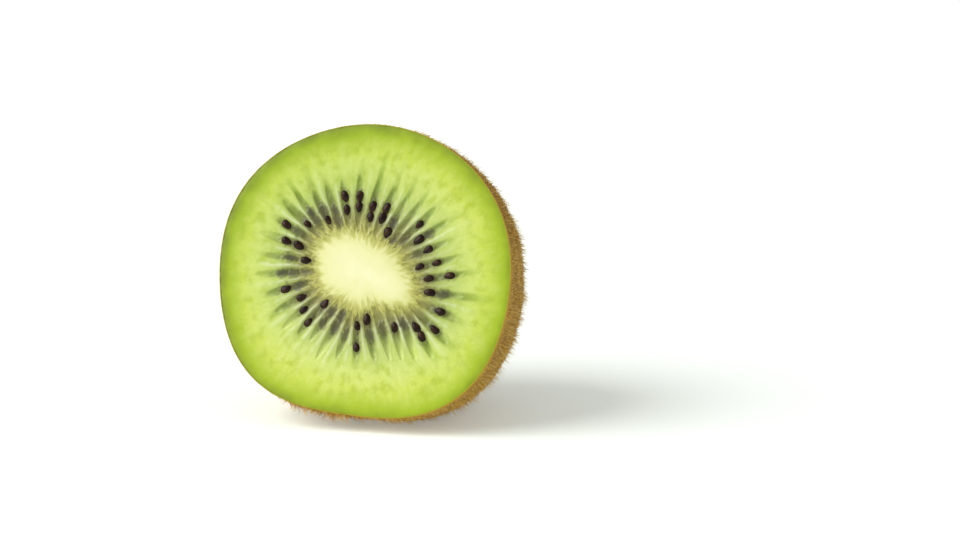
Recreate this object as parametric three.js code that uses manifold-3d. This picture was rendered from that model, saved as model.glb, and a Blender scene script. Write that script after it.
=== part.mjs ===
// Half a kiwi fruit, cut across and set down on its side, as a three.js scene graph.
//
// Millimetres, +Z up. The fruit leans back a little on a small flat where its own weight has
// settled it, so the cut face looks along -Y and slightly upwards. The origin lies on the
// table, in the middle of that flat.
//
// Two solids: the flesh in its skin, with the seeds grown into it, and the pale core that
// runs from the cut face towards the stem.

import * as THREE from "three";
import { mergeVertices } from "three/addons/utils/BufferGeometryUtils.js";
import Module from "manifold-3d";

// ---------------------------------------------------------------- driving dimensions

// The whole fruit: a barrel, widest just behind the cut.
const FRUIT_RADIUS = 25.9;
const WIDEST_BEHIND_CUT = 1.2;
const WIDEST_TO_END = 32.8;
const BARREL_POWER = 2.4; // 2 is an ellipsoid, and more gives it squarer shoulders
const FRUIT_DEPTH = WIDEST_BEHIND_CUT + WIDEST_TO_END;

// A lobe is [bulges round the fruit, height as a share of the radius, direction of the first
// in degrees]. Directions turn anticlockwise on the cut face, from its right side.
const SKIN_LOBES = [
  [2, 0.022, -20],
  [3, 0.013, -37],
  [4, 0.02, 45],
  [5, 0.01, 15],
];

// The stem end: a shallow dimple with the woody scar of the stalk in it.
const DIMPLE_RADIUS = 5.4;
const DIMPLE_DEPTH = 1.1;
const SCAR_RADIUS = 1.9;
const SCAR_HEIGHT = 0.5;

// The core: an uneven column that narrows to a point inside the fruit.
const CORE_RADIUS = 6.6;
const CORE_DEPTH = 24;
const CORE_GAP = 0.3; // clearance round the core
const CORE_LOBES = [
  [1, 0.05, 160],
  [2, 0.25, -20],
  [3, 0.05, -15],
  [4, 0.065, -23],
  [5, 0.06, -25],
  [6, 0.04, 30],
];

// The locules: long cells that stand round the core like spokes. They start out square to
// its edge, then bend towards the skin. They are closer together in some places than in
// others: these lobes are the degrees by which a locule is turned from its even place.
const LOCULE_COUNT = 35;
const FIRST_LOCULE = 11; // degrees
const CROWDING = [
  [1, 1.5, 60],
  [2, 3, 100],
  [4, 2, 25],
];
const LOCULE_ASTRAY = 0.4; // degrees, either way
const LOCULE_STARTS = 1.2; // outside the core's edge
const LOCULE_LENGTH = [8, 10.4];
const LOCULE_HALF_WIDTH = 0.72;
const LOCULE_SUNK = 0.35;
const SPOKE_BEND = 0.23;
const SPOKE_MIDDLE = 12.5; // from the fruit's axis

// The seeds, ring by ring outwards, one letter for each locule: o lies bare in the cut, s is
// covered by flesh and so isn't part of the solid, and a dot is no seed.
const SEED_RINGS = [
  "....s...........os.................",
  ".....o....s..........o.s..o........",
  "o..s.......o..........s..o.......o.",
  ".s.....o....s..o..s...............o",
  ".....so..os..o...s.o.........s.....",
  "..o.....o..s..s.s......ss..so.o....",
  ".o.....o....s.......o.s...s.....os.",
  "o.....o........o.so................",
  "..so....oo...........o...o....oo...",
  "..............o...................o",
];
const FIRST_SEED_RING = 2.3; // outside the core's edge
const SEED_RING_STEP = 0.6;
const SEED_HALF_LENGTH = 0.98;
const SEED_HALF_WIDTH = 0.63;
const SEED_HALF_THICKNESS = 0.5;
const SEED_SUNK = [0.1, 0.26]; // its middle, below the cut
const SEED_SIZE = [0.86, 1.1];
const SEED_ASKEW = 14; // degrees, either way
const SEED_DRAW = 2026;

// How it stands.
const LEAN_BACK = 17; // the cut face from upright, in degrees
const SETTLED = 0.6; // depth of the flat that it rests on

// Facets.
const ROUND_THE_FRUIT = 64;
const RINGS_TO_THE_STEM = 17;
const DIMPLE_RINGS = 3;
const ROUND_THE_CORE = 44;
const RINGS_DOWN_THE_CORE = 6;
const ROUND_A_SEED = 6;
const DOWN_A_SEED = 4;
const ROUND_A_LOCULE = 10;
const DOWN_A_LOCULE = 4;

// ---------------------------------------------------------------- small helpers

const wasm = await Module();
wasm.setup();

const radians = THREE.MathUtils.degToRad;

/** Draws numbers between two limits, the same ones on every run. */
function drawsFrom(seed) {
  const MULTIPLIER = 16807;
  const MODULUS = 2147483647;
  let state = seed;
  return ([least, most]) => {
    state = (state * MULTIPLIER) % MODULUS;
    return least + ((most - least) * state) / MODULUS;
  };
}

/** 1 on a round outline, more on a bulge and less in a flat. */
function swell(lobes, angle) {
  return lobes.reduce(
    (sum, [count, height, towards]) => sum + height * Math.cos(count * (angle - radians(towards))),
    1,
  );
}

/** A closed geometry as a solid that can be joined and cut. */
function solidOf(geometry) {
  const bare = geometry.clone();
  bare.deleteAttribute("normal");
  bare.deleteAttribute("uv");
  const merged = mergeVertices(bare);
  return new wasm.Manifold(
    new wasm.Mesh({
      numProp: 3,
      vertProperties: merged.attributes.position.array,
      triVerts: new Uint32Array(merged.index.array),
    }),
  );
}

/** A solid as a geometry again. */
function geometryOf(solid) {
  const { vertProperties, triVerts } = solid.getMesh();
  const geometry = new THREE.BufferGeometry();
  geometry.setAttribute("position", new THREE.BufferAttribute(vertProperties, 3));
  geometry.setIndex(new THREE.BufferAttribute(triVerts, 1));
  geometry.computeVertexNormals();
  return geometry;
}

/**
 * Turns a profile about the fruit's axis, then moves each vertex outwards by the factor
 * outwards(angle, depth). In the fruit's own frame +Y looks out of the cut face, +X to its
 * right and -Z to its top, and depth is measured into the fruit from the cut.
 */
function turned(profile, segments, outwards) {
  const geometry = new THREE.LatheGeometry(profile, segments);
  const position = geometry.attributes.position;
  for (let i = 0; i < position.count; i++) {
    const angle = Math.atan2(-position.getZ(i), position.getX(i));
    const factor = outwards(angle, -position.getY(i));
    position.setX(i, position.getX(i) * factor);
    position.setZ(i, position.getZ(i) * factor);
  }
  return geometry;
}

/** An ellipsoid that lies along a spoke of the cut face, half sizes given. */
function onTheCut(halfSizes, around, down, { angle, radius, sunk, turn }) {
  return solidOf(
    new THREE.SphereGeometry(1, around, down)
      .scale(halfSizes.length, halfSizes.thickness, halfSizes.width)
      .rotateY(angle + turn)
      .translate(radius * Math.cos(angle), -sunk, -radius * Math.sin(angle)),
  );
}

// ---------------------------------------------------------------- the fruit's form

/** The fruit's mean radius at this depth behind the cut. */
function barrelRadius(depth) {
  const along = Math.abs(depth - WIDEST_BEHIND_CUT) / WIDEST_TO_END;
  return FRUIT_RADIUS * (1 - along ** BARREL_POWER) ** (1 / BARREL_POWER);
}

/** How deep the closed end lies at this distance from the axis, with the stem's dimple in it. */
function endDepth(radius) {
  const share = (radius / FRUIT_RADIUS) ** BARREL_POWER;
  const barrel = WIDEST_BEHIND_CUT + WIDEST_TO_END * (1 - share) ** (1 / BARREL_POWER);
  const inDimple = Math.max(0, 1 - (radius / DIMPLE_RADIUS) ** 2);
  return barrel - DIMPLE_DEPTH * inDimple ** 2;
}

/** The skin's lobes die away towards the stem. */
function skinSwell(angle, depth) {
  const fade = Math.max(0, 1 - (depth / FRUIT_DEPTH) ** 2);
  return 1 + (swell(SKIN_LOBES, angle) - 1) * fade;
}

/** The fruit's outline from the stem's scar to the middle of the cut, for the lathe. */
function fruitProfile() {
  const profile = [
    new THREE.Vector2(0, -endDepth(0) - SCAR_HEIGHT),
    new THREE.Vector2(SCAR_RADIUS * 0.75, -endDepth(SCAR_RADIUS) - SCAR_HEIGHT),
  ];
  for (let i = 0; i <= DIMPLE_RINGS; i++) {
    const radius = THREE.MathUtils.lerp(SCAR_RADIUS, DIMPLE_RADIUS, i / (DIMPLE_RINGS + 1));
    profile.push(new THREE.Vector2(radius, -endDepth(radius)));
  }
  const lip = Math.asin((endDepth(DIMPLE_RADIUS) - WIDEST_BEHIND_CUT) / WIDEST_TO_END);
  for (let i = 0; i < RINGS_TO_THE_STEM; i++) {
    const depth = WIDEST_BEHIND_CUT + WIDEST_TO_END * Math.sin(lip * (1 - i / RINGS_TO_THE_STEM));
    profile.push(new THREE.Vector2(barrelRadius(depth), -depth));
  }
  profile.push(new THREE.Vector2(barrelRadius(0), 0), new THREE.Vector2(0, 0));
  return profile;
}

/** The core, or with a margin the pocket that it stands in. */
function coreSolid(margin = 0) {
  const radius = CORE_RADIUS + margin;
  const profile = [];
  for (let i = 0; i <= RINGS_DOWN_THE_CORE; i++) {
    const down = Math.cos((i / RINGS_DOWN_THE_CORE) * (Math.PI / 2));
    const across = Math.sqrt(Math.max(0, 1 - down ** 2));
    profile.push(new THREE.Vector2(radius * across, -(CORE_DEPTH + margin) * down));
  }
  if (margin) profile.push(new THREE.Vector2(radius, margin));
  profile.push(new THREE.Vector2(0, margin));
  const outwards = (angle) => (CORE_RADIUS * swell(CORE_LOBES, angle) + margin) / radius;
  return solidOf(turned(profile, ROUND_THE_CORE, outwards));
}

// ---------------------------------------------------------------- locules and seeds

/** A place on the spoke that crosses the middle of the locules at this angle. */
function alongSpoke(spoke, radius) {
  const STEP = 0.01;
  const rise = swell(CORE_LOBES, spoke + STEP) - swell(CORE_LOBES, spoke - STEP);
  const slant = (-SPOKE_BEND * rise) / (2 * STEP) / swell(CORE_LOBES, spoke);
  return {
    angle: spoke + slant * Math.log(radius / SPOKE_MIDDLE),
    turn: Math.atan(slant),
    radius,
  };
}

/** Where each locule lies, and where its seeds do, drawn in order round the core. */
function loculesAndSeeds() {
  const draw = drawsFrom(SEED_DRAW);
  const locules = [];
  const seeds = [];
  for (let i = 0; i < LOCULE_COUNT; i++) {
    const even = FIRST_LOCULE + (i * 360) / LOCULE_COUNT;
    const crowded = swell(CROWDING, radians(even)) - 1;
    const spoke = radians(even + crowded + draw([-LOCULE_ASTRAY, LOCULE_ASTRAY]));
    const edge = CORE_RADIUS * swell(CORE_LOBES, spoke);
    const length = draw(LOCULE_LENGTH);
    const middle = edge + LOCULE_STARTS + length / 2;
    locules.push({ length, sunk: 0, ...alongSpoke(spoke, middle) });

    SEED_RINGS.forEach((ring, rank) => {
      const size = draw(SEED_SIZE);
      const sunk = draw(SEED_SUNK);
      const askew = radians(draw([-SEED_ASKEW, SEED_ASKEW]));
      const place = alongSpoke(spoke, edge + FIRST_SEED_RING + rank * SEED_RING_STEP);
      if (ring[i] === "o") seeds.push({ ...place, size, sunk, turn: place.turn + askew });
    });
  }
  return { locules, seeds };
}

function seedSolid(seed) {
  const halfSizes = {
    length: SEED_HALF_LENGTH * seed.size,
    thickness: SEED_HALF_THICKNESS,
    width: SEED_HALF_WIDTH * seed.size,
  };
  return onTheCut(halfSizes, ROUND_A_SEED, DOWN_A_SEED, seed);
}

function loculeHollow(locule) {
  const halfSizes = {
    length: locule.length / 2,
    thickness: LOCULE_SUNK,
    width: LOCULE_HALF_WIDTH,
  };
  return onTheCut(halfSizes, ROUND_A_LOCULE, DOWN_A_LOCULE, locule);
}

// ---------------------------------------------------------------- standing it on the table

const lean = new THREE.Matrix4().makeRotationX(Math.PI - radians(LEAN_BACK));

/** The lowest the leaning fruit would reach, before its weight settles it. */
function lowestPoint(geometry) {
  const leaning = geometry.clone().applyMatrix4(lean);
  leaning.computeBoundingBox();
  return leaning.boundingBox.min.z;
}

/** Everything under the table's top, in the fruit's own frame. */
function underTheTable(top) {
  const reach = 4 * FRUIT_RADIUS;
  const block = new THREE.BoxGeometry(reach, reach, reach).translate(0, 0, top - reach / 2);
  return solidOf(block.applyMatrix4(lean.clone().invert()));
}

/** The middle of the flat that the leaning fruit rests on. */
function middleOfRest(geometry, top) {
  const TOUCHING = 0.001;
  const position = geometry.attributes.position;
  const flat = new THREE.Box3();
  for (let i = 0; i < position.count; i++) {
    const corner = new THREE.Vector3().fromBufferAttribute(position, i).applyMatrix4(lean);
    if (corner.z < top + TOUCHING) flat.expandByPoint(corner);
  }
  return flat.getCenter(new THREE.Vector3());
}

// ---------------------------------------------------------------- the two solids

function fleshGeometry(wholeFruit, tableTop) {
  const { locules, seeds } = loculesAndSeeds();
  const hollows = wasm.Manifold.union([...locules.map(loculeHollow), coreSolid(CORE_GAP)]);
  const flesh = solidOf(wholeFruit).subtract(underTheTable(tableTop)).subtract(hollows);
  return geometryOf(wasm.Manifold.union([flesh, ...seeds.map(seedSolid)]));
}

const wholeFruit = turned(fruitProfile(), ROUND_THE_FRUIT, skinSwell);
const tableTop = lowestPoint(wholeFruit) + SETTLED;

const flesh = new THREE.Mesh(
  fleshGeometry(wholeFruit, tableTop),
  new THREE.MeshStandardMaterial({ color: 0xb4d04c, roughness: 0.4, metalness: 0 }),
);
flesh.name = "flesh_in_skin";

const core = new THREE.Mesh(
  geometryOf(coreSolid()),
  new THREE.MeshStandardMaterial({ color: 0xf8f5c0, roughness: 0.5, metalness: 0 }),
);
core.name = "core";

const rest = middleOfRest(flesh.geometry, tableTop);

const fruit = new THREE.Group();
fruit.add(flesh, core);
fruit.rotation.setFromRotationMatrix(lean);
fruit.position.set(-rest.x, -rest.y, -tableTop);

const kiwiHalf = new THREE.Group();
kiwiHalf.add(fruit);

export default kiwiHalf;
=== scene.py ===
"""The looks of half a kiwi fruit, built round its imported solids.

Lengths are millimetres until a point is placed in Blender, in metres. A place on the cut face
is an angle, anticlockwise from its right side, and a distance from the fruit's axis. Depth is
measured into the fruit from the cut.
"""

from math import asin, cos, pi, radians, sin

import bmesh
import bpy
import numpy as np
from mathutils import Matrix, Vector, noise


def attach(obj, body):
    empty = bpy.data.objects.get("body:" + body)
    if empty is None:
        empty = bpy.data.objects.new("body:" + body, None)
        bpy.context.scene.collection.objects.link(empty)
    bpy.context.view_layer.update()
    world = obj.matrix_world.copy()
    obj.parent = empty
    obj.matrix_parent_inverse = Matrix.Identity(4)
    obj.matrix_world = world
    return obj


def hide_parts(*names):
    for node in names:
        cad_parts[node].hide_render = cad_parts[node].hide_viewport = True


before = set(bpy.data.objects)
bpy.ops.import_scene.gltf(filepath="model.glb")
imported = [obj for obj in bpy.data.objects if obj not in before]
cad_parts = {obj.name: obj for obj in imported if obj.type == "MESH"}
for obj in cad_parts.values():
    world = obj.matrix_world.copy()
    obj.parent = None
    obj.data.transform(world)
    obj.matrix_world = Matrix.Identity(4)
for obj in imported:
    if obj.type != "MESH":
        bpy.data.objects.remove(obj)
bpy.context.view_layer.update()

MM = 0.001

# ---------------------------------------------------------------- driving dimensions

# The fruit: a barrel, widest just behind the cut, that leans back on the table.
FRUIT_RADIUS = 25.9
WIDEST_BEHIND_CUT = 1.2
WIDEST_TO_END = 32.8
BARREL_POWER = 2.4
FRUIT_DEPTH = WIDEST_BEHIND_CUT + WIDEST_TO_END
LEAN_BACK = radians(17)

# A lobe is (bulges round the fruit, height as a share of the radius, direction in degrees).
SKIN_LOBES = [(2, 0.022, -20), (3, 0.013, -37), (4, 0.02, 45), (5, 0.01, 15)]
CORE_LOBES = [
    (1, 0.05, 160), (2, 0.25, -20), (3, 0.05, -15), (4, 0.065, -23), (5, 0.06, -25), (6, 0.04, 30),
]

# The stem end. The woody scar's profile is (share of its radius, height over its rim).
DIMPLE_RADIUS = 5.4
DIMPLE_DEPTH = 1.1
SCAR_RADIUS = 1.9
SCAR_PROFILE = [
    (0, -0.6), (0.9, -0.5), (1, 0), (0.92, 0.35), (0.78, 0.5), (0.6, 0.4), (0.4, 0.2),
    (0.2, 0.15), (0, 0.15),
]

# The core. Its top domes a little out of the cut.
CORE_RADIUS = 6.6
CORE_DEPTH = 24
CORE_DOME = 0.12

# The locules. The lobes of their crowding are degrees by which one is turned from its even place.
LOCULE_COUNT = 35
FIRST_LOCULE = 11
CROWDING = [(1, 1.5, 60), (2, 3, 100), (4, 2, 25)]
LOCULE_ASTRAY = 0.4
LOCULE_STARTS = 1.2
LOCULE_LENGTH = (8, 10.4)
LOCULE_HALF_WIDTH = 0.72
LOCULE_SUNK = 0.35
SPOKE_BEND = 0.23
SPOKE_MIDDLE = 12.5
SPOKE_ROUNDS = 6

# The dark streak along each locule. Places along it are distances outside the core's edge. It is
# slimmer by a share beside the core and at its end, and longer by a share on one side of the
# fruit. Its soft edge is in half-widths.
STREAK_STRENGTH = (0.75, 1)
STREAK_HALF_WIDTH = (0.52, 0.74)
STREAK_REACH = (10.5, 16)
STREAK_BEGINS = (0.8, 2.6)
STREAK_WIDENS = (1, 4)
SLIMMER_AT_CORE = 0.35
STREAK_THINS_FROM = 9
SLIMMER_AT_END = 0.25
STREAK_FADES_FROM = 0.6
STREAK_EDGE = (0.35, 1.35)
STREAK_SWAY = 0.22
STREAK_MEAN = 0.95
STREAK_PATCHY = 0.6
LONG_STREAKS_TOWARDS = radians(60)
STREAKS_LONGER = 0.14

# The pale walls between the locules. Each fades in over the first of two lengths and out over
# the second, and widens for every millimetre past a place.
WALL_BRIGHTNESS = (0.3, 1)
WALL_BEGINS = (1, 3)
WALL_REACH = (10, 15)
WALL_FADES = (2.5, 4)
WALL_HALF_WIDTH = 0.16
WALL_WIDENS = 0.025
WALL_WIDENS_FROM = 3
WALL_MEAN = 0.85
WALL_PATCHY = 1.2
WALL_STRENGTH = 0.9
WALL_RAISED = 0.06

# The seeds, ring by ring outwards, one letter for each locule: o lies bare in the cut, s is
# covered by flesh, and a dot is no seed.
SEED_RINGS = [
    "....s...........os.................",
    ".....o....s..........o.s..o........",
    "o..s.......o..........s..o.......o.",
    ".s.....o....s..o..s...............o",
    ".....so..os..o...s.o.........s.....",
    "..o.....o..s..s.s......ss..so.o....",
    ".o.....o....s.......o.s...s.....os.",
    "o.....o........o.so................",
    "..so....oo...........o...o....oo...",
    "..............o...................o",
]
FIRST_SEED_RING = 2.3
SEED_RING_STEP = 0.6
SEED_HALF_LENGTH = 0.98
SEED_HALF_WIDTH = 0.63
SEED_HALF_THICKNESS = 0.5
SEED_SUNK = (0.1, 0.26)
SEED_SIZE = (0.86, 1.1)
SEED_ASKEW = 14
SEED_UNEVEN = 0.3
SEED_POINTED = 0.22
SEED_LUMPS_APART = 4

# A nest is the dark jelly round a seed. It and a covered seed fade between two distances from
# the seed's middle, where 1 is its outline.
NEST_FADES = (0.9, 1.9)
NEST_FILLED = 0.7
NEST_STRENGTH = 0.5
COVERED_SEED_STRENGTH = (0.3, 0.7)
COVERED_SEED_FADES = (0.3, 1.5)
SEED_EDGE_RAGGED = 0.7

# Where each series of draws starts.
SEED_DRAW = 2026
WALL_DRAW = 2027
STREAK_DRAW = 2028
COVERED_SEED_DRAW = 2029
SHORT_HAIR_DRAW = 11
LONG_HAIR_DRAW = 23

# The flesh has fine strands in relief and sinks a little beside the skin.
STRAND_RELIEF = 0.02
RIM_SUNK = 0.05
RIM_WIDTH = 0.5

# Painted shade: the flesh is drawn darker and greener round these directions, as (direction in
# degrees, how far round, how much darker), most towards the upper left. Below it, the side where
# the green band under the skin is widest; opposite it the band is narrower, by a share of the way
# from the core to the skin.
PAINTED_SHADE_PLACES = [(125, 75, 1), (345, 40, 0.55)]
GREEN_BAND_TOWARDS = radians(150)
GREEN_BAND_NARROWER = 0.045
GREEN_BAND_FROM = (0.7, 0.9)

# Relief is (height, size of its bumps, shift to another part of the noise). The tufts of the
# hair follow such noise, with an edge as soft as this span of it.
SKIN_RELIEF = [(0.10, 7.0, 0), (0.05, 1.6, 5)]
CUT_EDGE_RELIEF = (0.10, 0.9, 9)
CORE_RELIEF = (0.03, 2.5)
SCAR_RELIEF_SIDEWAYS = (0.12, 0.7)
SCAR_RELIEF_OUTWARDS = (0.1, 0.6, 4)
TUFTS = (1, 2.4, 3)
TUFT_EDGE = (-0.25, 0.35)

# The skin and its hairs. Real hairs are thinner and stand closer, and are drawn thick enough to
# show. Where they begin is a distance from the scar, the table or the cut.
SKIN_THICKNESS = 0.15
SKIN_RELIEF_FROM = (0, 1.5)
SHORT_HAIR = 0.75
LONG_HAIR = 1.9
HAIR_HALF_WIDTH = 0.042
HAIR_SIZE = (0.5, 1.2)
HAIRS_FROM_SCAR = (2.0, 3.2)
HAIRS_FROM_TABLE = (0.0, 0.4)
SHORT_HAIRS_FROM_CUT = (0.3, 1.3)
LONG_HAIRS_FROM_CUT = (0.8, 2.2)
BETWEEN_TUFTS = 0.7

# The fringe of long hairs under the lower cut edge: from which depths it grows and thins out, how
# far down the fruit's underside it lies, as the sine of that angle, how thick it is and how far
# it turns forwards. In one place it is pressed flat.
FRINGE_FROM = (0.0, 0.3)
FRINGE_THINS = (1.0, 4.0)
FRINGE_UNDERSIDE = (0.84, 0.96)
FRINGE_THICKNESS = 9
FRINGE_FORWARDS = 1.2
PRESSED_TOWARDS = radians(287)
PRESSED_WITHIN = radians(15)
PRESSED_FLAT = 0.8

# How finely the pieces are made. The rows of the cut face are closer up to a share of the way
# from the core to the skin.
ROUND_THE_FLESH = 864
ROUND_THE_SKIN = 432
ROUND_THE_SCAR = 72
POCKET_ROWS = 6
LOCULE_ROWS = 62
LOCULE_ROWS_TO = 0.62
OUTER_ROWS = 26
SIDE_ROWS = 12
SIDE_DIMPLE_ROWS = 4
SKIN_ROWS = 128
DIMPLE_ROWS = 14
CORE_TOP_ROWS = 26
CORE_SIDE_ROWS = 16
SEED_SEGMENTS = 18
SEED_BANDS = 12
SAME_PLACE = 1e-4
SHARP_FROM = radians(60)


# ---------------------------------------------------------------- the fruit's form

def swell(lobes, angle):
    """1 on a round outline, more on a bulge and less in a flat."""
    return 1 + sum(height * np.cos(count * (angle - radians(towards)))
                   for count, height, towards in lobes)


def barrel_radius(depth):
    """The fruit's mean radius at this depth behind the cut."""
    along = np.abs(depth - WIDEST_BEHIND_CUT) / WIDEST_TO_END
    return FRUIT_RADIUS * (1 - along ** BARREL_POWER) ** (1 / BARREL_POWER)


def end_depth(radius):
    """How deep the closed end lies at this distance from the axis."""
    share = (radius / FRUIT_RADIUS) ** BARREL_POWER
    barrel = WIDEST_BEHIND_CUT + WIDEST_TO_END * (1 - share) ** (1 / BARREL_POWER)
    in_dimple = np.maximum(0, 1 - (radius / DIMPLE_RADIUS) ** 2)
    return barrel - DIMPLE_DEPTH * in_dimple ** 2


def skin_swell(angle, depth):
    """The skin's swell at this depth, as its lobes die away towards the stem."""
    fade = np.maximum(0, 1 - (depth / FRUIT_DEPTH) ** 2)
    return 1 + (swell(SKIN_LOBES, angle) - 1) * fade


def core_edge(angle):
    """Where the core ends in the cut."""
    return CORE_RADIUS * swell(CORE_LOBES, angle)


def flesh_edge(angle):
    """Where the cut flesh meets the skin."""
    return (barrel_radius(0) - SKIN_THICKNESS) * skin_swell(angle, 0)


def spoke_slant(spoke):
    """How far a spoke of the cut face runs askew, as the tangent of that angle."""
    step = 0.01
    rise = swell(CORE_LOBES, spoke + step) - swell(CORE_LOBES, spoke - step)
    return -SPOKE_BEND * rise / (2 * step) / swell(CORE_LOBES, spoke)


def along_spoke(spoke, radius):
    """The angle where a spoke crosses this radius."""
    return spoke + spoke_slant(spoke) * np.log(radius / SPOKE_MIDDLE)


def spoke_through(angle, radius):
    """The spoke that passes through a place, found by going halfway to it a few times."""
    spoke = angle
    for _ in range(SPOKE_ROUNDS):
        there = angle - spoke_slant(spoke) * np.log(np.maximum(radius, 1) / SPOKE_MIDDLE)
        spoke = (spoke + there) / 2
    return spoke


def outline(rows, dimple_rows, inset=0):
    """The skin's profile from the cut to the middle of the stem end, as (radius, depth)."""
    first = -asin(WIDEST_BEHIND_CUT / WIDEST_TO_END)
    lip = asin((end_depth(DIMPLE_RADIUS) - WIDEST_BEHIND_CUT) / WIDEST_TO_END)
    turns = np.linspace(first, lip, rows)
    depths = WIDEST_BEHIND_CUT + WIDEST_TO_END * np.sin(turns)
    radii = np.linspace(DIMPLE_RADIUS, 0, dimple_rows)[1:]
    points = np.array([*zip(barrel_radius(depths), depths), *zip(radii, end_depth(radii))])
    tangents = np.gradient(points, axis=0)
    tangents /= np.linalg.norm(tangents, axis=1)[:, None]
    inwards = np.stack([-tangents[:, 1], tangents[:, 0]], axis=1)
    inwards[0] = (-1, 0)
    inwards[-1] = (0, -1)
    return points + inset * inwards


# ---------------------------------------------------------------- where the cut face lies

RIGHT = np.array((1, 0, 0))
UP = np.array((0, sin(LEAN_BACK), cos(LEAN_BACK)))
INTO = np.array((0, cos(LEAN_BACK), -sin(LEAN_BACK)))


def cut_centre():
    """The middle of the cut face, found from the tip of the core's solid."""
    corners = np.array([v.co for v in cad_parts["core"].data.vertices])
    tip = corners[np.argmax(corners @ INTO)]
    return tip - CORE_DEPTH * MM * INTO


CUT_CENTRE = cut_centre()


def placed(angle, radius, depth):
    """Places on the fruit as points in Blender, one row each."""
    across = np.outer(radius * np.cos(angle), RIGHT) + np.outer(radius * np.sin(angle), UP)
    return CUT_CENTRE + MM * (across + np.outer(depth, INTO))


# ---------------------------------------------------------------- locules and seeds

def draws_from(seed):
    """Draws numbers between two limits, the same ones on every run."""
    multiplier, modulus = 16807, 2147483647
    state = seed

    def draw(least, most):
        nonlocal state
        state = state * multiplier % modulus
        return least + (most - least) * state / modulus

    return draw


def locules_and_seeds():
    """Where each locule lies, and where its seeds do, drawn in order round the core."""
    draw = draws_from(SEED_DRAW)
    locules, seeds = [], []
    for i in range(LOCULE_COUNT):
        even = FIRST_LOCULE + i * 360 / LOCULE_COUNT
        crowded = swell(CROWDING, radians(even)) - 1
        spoke = radians(even + crowded + draw(-LOCULE_ASTRAY, LOCULE_ASTRAY))
        edge = core_edge(spoke)
        length = draw(*LOCULE_LENGTH)
        locules.append({"spoke": spoke, "length": length,
                        "middle": edge + LOCULE_STARTS + length / 2})
        for rank, ring in enumerate(SEED_RINGS):
            radius = edge + FIRST_SEED_RING + rank * SEED_RING_STEP
            seed = {"radius": radius, "angle": along_spoke(spoke, radius),
                    "size": draw(*SEED_SIZE), "sunk": draw(*SEED_SUNK)}
            askew = radians(draw(-SEED_ASKEW, SEED_ASKEW))
            seed["turn"] = seed["angle"] + np.arctan(spoke_slant(spoke)) + askew
            if ring[i] != ".":
                seeds.append({**seed, "bare": ring[i] == "o"})
    return locules, seeds


LOCULES, SEEDS = locules_and_seeds()


def wrapped(angle):
    """An angle brought between minus half a turn and half a turn."""
    return (angle + pi) % (2 * pi) - pi


def smooth(low, high, value):
    """0 below low, 1 above high, and a smooth rise between."""
    share = np.clip((value - low) / (high - low), 0, 1)
    return share * share * (3 - 2 * share)


def in_seed(seed, angle, radius):
    """Distance from a seed's middle, where 1 is its outline, for places on the cut face."""
    x = radius * np.cos(angle) - seed["radius"] * cos(seed["angle"])
    y = radius * np.sin(angle) - seed["radius"] * sin(seed["angle"])
    turn = seed["turn"]
    along = (x * cos(turn) + y * sin(turn)) / (SEED_HALF_LENGTH * seed["size"])
    across = (y * cos(turn) - x * sin(turn)) / (SEED_HALF_WIDTH * seed["size"])
    return np.hypot(along, across)


# The patterns on the cut are read from noise on a drum round the fruit's axis, so that they run
# along its radii. Each is (size round the fruit at the middle of the flesh, size along a radius),
# drawn as coarse as it needs to show: the cells of real flesh are finer.
MIDDLE_OF_FLESH = 18
CELL_SIZE = (1.3, 1.6)
STRAND_SIZE = (1.2, 3.0)
TOOTH_SIZE = (2.0, 2.2)
PATCH_SIZE = (0.9, 1.1)
SWAY_SIZE = (3.0, 3.0)
SEED_EDGE_SIZE = (0.7, 0.5)


def on_drum(spoke, radius, size):
    """Where the noise of a radial pattern is read, with the pattern's size as the unit."""
    drum = MIDDLE_OF_FLESH / size[0]
    return np.stack([drum * np.cos(spoke), drum * np.sin(spoke), radius / size[1]], axis=1)


def rough(points, height=1, size=1, shift=0):
    """Smooth noise at these points, up and down to this height, with bumps of about this size."""
    aside = Vector((shift, 2 * shift, 3 * shift))
    return height * np.array([noise.noise(Vector(p) / size + aside) for p in points])


def locule_pattern(spoke, radius, beyond, sway):
    """How deep each place lies in a locule, from 0 to 1, and how dark the locule makes it. Each
    dark streak has its own strength, width and reach, and sways a little from side to side."""
    draw = draws_from(STREAK_DRAW)
    hollow = np.zeros_like(radius)
    stain = np.zeros_like(radius)
    slimmer_at_core = SLIMMER_AT_CORE * (1 - smooth(*STREAK_WIDENS, beyond))
    for cell in LOCULES:
        strength = draw(*STREAK_STRENGTH)
        half_width = draw(*STREAK_HALF_WIDTH)
        longer = STREAKS_LONGER * cos(cell["spoke"] - LONG_STREAKS_TOWARDS)
        reach = draw(*STREAK_REACH) * (1 + longer)
        aside = wrapped(spoke - cell["spoke"]) * radius
        along = (radius - cell["middle"]) / (cell["length"] / 2)
        hollow = np.maximum(hollow, 1 - along ** 2 - (aside / LOCULE_HALF_WIDTH) ** 2)
        slimmer_at_end = SLIMMER_AT_END * smooth(STREAK_THINS_FROM, reach, beyond)
        width = half_width * (1 - slimmer_at_core - slimmer_at_end)
        across = 1 - smooth(*STREAK_EDGE, np.abs(aside + sway) / width)
        fade = 1 - smooth(STREAK_FADES_FROM * reach, reach, beyond)
        stain = np.maximum(stain, strength * across * smooth(*STREAK_BEGINS, beyond) * fade)
    return np.sqrt(np.clip(hollow, 0, 1)), stain


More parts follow.
